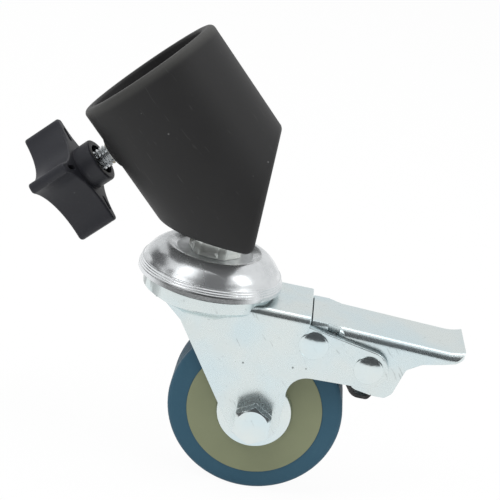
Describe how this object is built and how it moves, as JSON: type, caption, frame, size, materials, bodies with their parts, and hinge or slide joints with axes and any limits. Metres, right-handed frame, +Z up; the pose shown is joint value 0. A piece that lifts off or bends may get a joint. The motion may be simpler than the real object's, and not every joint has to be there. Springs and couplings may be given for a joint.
{
  "type": "swivel caster wheel with leg socket",
  "caption": "Swivel caster wheel with foot brake, on a slanted round leg socket closed by a star-knob clamp screw.",
  "frame": {"origin": "centre of the leg bore's floor", "axes": "+Z up along the swivel axis; +X from the swivel axis to the axle and the brake pedal at rest; +Y along the axle; the leg bore opens up and towards -X at 45 degrees"},
  "size_m": [0.1316, 0.042, 0.128],
  "materials": {
    "socket_plastic": "moulded black, fine spark-eroded grain",
    "knob_plastic": "moulded black, smooth",
    "tread_rubber": "blue-grey thermoplastic rubber",
    "core_plastic": "moulded khaki",
    "zinc_plate": "bright blue-white zinc plate",
    "bright_steel": "ground or plated steel",
    "spring_steel": "dark oiled spring steel",
    "brass": "turned"
  },
  "bodies": {
    "socket_mount": {"leg_socket": "socket_plastic", "stem_bush": "brass", "clamp_insert": "brass", "kingpin": "zinc_plate", "top_race": "zinc_plate", "lower_race": "bright_steel"},
    "fork_swivel": {"fork": "zinc_plate", "upper_balls": "bright_steel", "lower_balls": "bright_steel", "leaf_pin": "zinc_plate", "pedal_pin": "zinc_plate", "axle_bolt": "zinc_plate", "axle_nut": "zinc_plate", "bearing_spacer": "bright_steel", "axle_spacer_left": "bright_steel", "axle_spacer_right": "bright_steel", "bearing_inner_left": "bright_steel", "bearing_inner_right": "bright_steel"},
    "wheel": {"tyre": "tread_rubber", "wheel_core": "core_plastic", "bearing_outer_left": "bright_steel", "bearing_outer_right": "bright_steel", "bearing_balls_left": "bright_steel", "bearing_balls_right": "bright_steel", "dust_cap_left": "zinc_plate", "dust_cap_right": "zinc_plate"},
    "pedal": {"brake_pedal": "zinc_plate"},
    "leaf": {"brake_leaf": "spring_steel"},
    "screw": {"clamp_screw": "bright_steel"},
    "knob": {"clamp_knob": "knob_plastic"}
  },
  "joints": [
    {"name": "swivel", "type": "hinge", "parent": "socket_mount", "child": "fork_swivel", "pos_m": [0.0036, 0, -0.03], "axis": [0, 0, 1], "continuous": true},
    {"name": "wheel_spin", "type": "hinge", "parent": "fork_swivel", "child": "wheel", "pos_m": [0.0236, 0, -0.0651], "axis": [0, 1, 0], "continuous": true},
    {"name": "pedal_press", "type": "hinge", "parent": "fork_swivel", "child": "pedal", "pos_m": [0.0519, 0, -0.0438], "axis": [0, 1, 0], "range_deg": [0, 17]},
    {"name": "leaf_press", "type": "hinge", "parent": "fork_swivel", "child": "leaf", "pos_m": [0.0357, 0, -0.04], "axis": [0, 1, 0], "range_deg": [0, 4.2]},
    {"name": "screw_feed", "type": "slide", "parent": "socket_mount", "child": "screw", "axis": [0.7071, 0, 0.7071], "range_m": [0, 0.004]},
    {"name": "knob_turn", "type": "hinge", "parent": "screw", "child": "knob", "pos_m": [-0.01389, 0, 0.01389], "axis": [0.7071, 0, 0.7071], "range_deg": [0, 1440]}
  ],
  "couplings": [
    {"joint": "leaf_press", "follows": "pedal_press", "ratio": 0.245},
    {"joint": "screw_feed", "follows": "knob_turn", "m_per_rad": 0.00015915}
  ]
}
